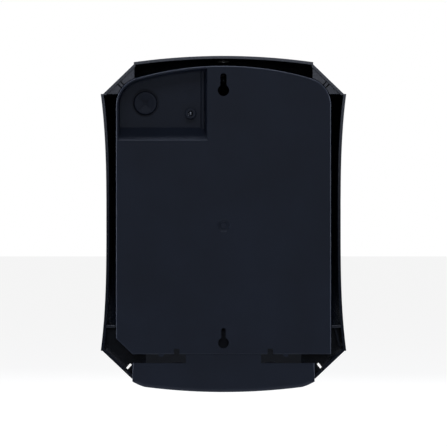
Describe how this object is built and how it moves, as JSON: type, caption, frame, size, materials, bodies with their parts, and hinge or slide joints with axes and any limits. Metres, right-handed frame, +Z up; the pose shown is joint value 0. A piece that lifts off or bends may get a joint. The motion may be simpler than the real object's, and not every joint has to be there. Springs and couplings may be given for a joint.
{
  "type": "soap dispenser",
  "caption": "Wall mounted liquid soap dispenser: a keyhole back plate, a cover that swings down, a push lever, a piston pump and an inverted refill bottle.",
  "frame": {"origin": "on the wall face of the back plate, midway between the screw seats of its two keyholes", "axes": "+Z up, +Y into the wall, so the front faces -Y, and +X to the right for someone who faces the dispenser"},
  "size_m": [0.2188, 0.145, 0.3004],
  "materials": {
    "chassis": "fine spark-textured moulded ABS, blue-black",
    "shell": "moulded ABS, satin gloss outside",
    "lever": "fine-grained moulded ABS",
    "smoke": "smoked transparent acrylic",
    "bottle": "blow-moulded natural polyethylene",
    "cap": "moulded polypropylene",
    "pump": "moulded acetal",
    "rubber": "nitrile rubber",
    "silicone": "translucent silicone",
    "steel": "zinc-plated steel",
    "spring": "drawn stainless spring wire and strip",
    "lock": "nickel-plated die casting"
  },
  "bodies": {
    "wall_unit": {"back_plate": "chassis", "cable_plug": "chassis", "leaf_spring": "spring", "leaf_spring_screw": "steel", "strike_bracket": "steel", "strike_screw_1": "steel", "strike_screw_2": "steel", "pump_bracket": "chassis", "bracket_screw_1": "steel", "bracket_screw_2": "steel", "bracket_screw_3": "steel", "bracket_screw_4": "steel", "pump_body": "pump", "pump_screw_1": "steel", "pump_screw_2": "steel", "neck_seal": "rubber", "inlet_valve": "silicone", "pump_end_cap": "pump", "outlet_valve": "silicone", "spout_nut": "pump"},
    "refill": {"refill_bottle": "bottle", "refill_cap": "cap"},
    "plunger": {"piston": "pump", "piston_seal": "rubber", "pump_spring": "spring"},
    "cover": {"front_cover": "shell", "sight_window": "smoke", "hinge_rod": "steel", "lever_pin_left": "steel", "lever_pin_right": "steel", "pin_clip_left": "spring", "pin_clip_right": "spring", "lock_barrel": "lock", "lock_nut": "lock"},
    "lock": {"lock_plug": "lock", "lock_cam": "steel", "cam_screw": "steel"},
    "lever": {"push_lever": "lever", "pusher_pad": "pump", "lever_spring_left": "spring", "lever_spring_right": "spring"}
  },
  "joints": [
    {"name": "cover_hinge", "type": "hinge", "parent": "wall_unit", "child": "cover", "pos_m": [0, -0.013, -0.148], "axis": [1, 0, 0], "range_deg": [0, 75]},
    {"name": "lever_hinge", "type": "hinge", "parent": "cover", "child": "lever", "pos_m": [0, -0.124, -0.092], "axis": [1, 0, 0], "range_deg": [0, 14], "stiffness_Nm_per_rad": 3, "springref_deg": -4.58, "deforming": ["lever_spring_left", "lever_spring_right"]},
    {"name": "piston_slide", "type": "slide", "parent": "wall_unit", "child": "plunger", "axis": [0, 1, 0], "range_m": [0, 0.007], "deforming": ["pump_spring"]},
    {"name": "lock_turn", "type": "hinge", "parent": "cover", "child": "lock", "pos_m": [0, -0.038, 0.13], "axis": [0, 0, -1], "range_deg": [0, 90]},
    {"name": "refill_lift", "type": "slide", "parent": "wall_unit", "child": "refill", "axis": [0, 0, 1], "range_m": [0, 0.02]}
  ],
  "couplings": [
    {"joint": "piston_slide", "follows": "lever_hinge", "m_per_rad": 0.028}
  ]
}
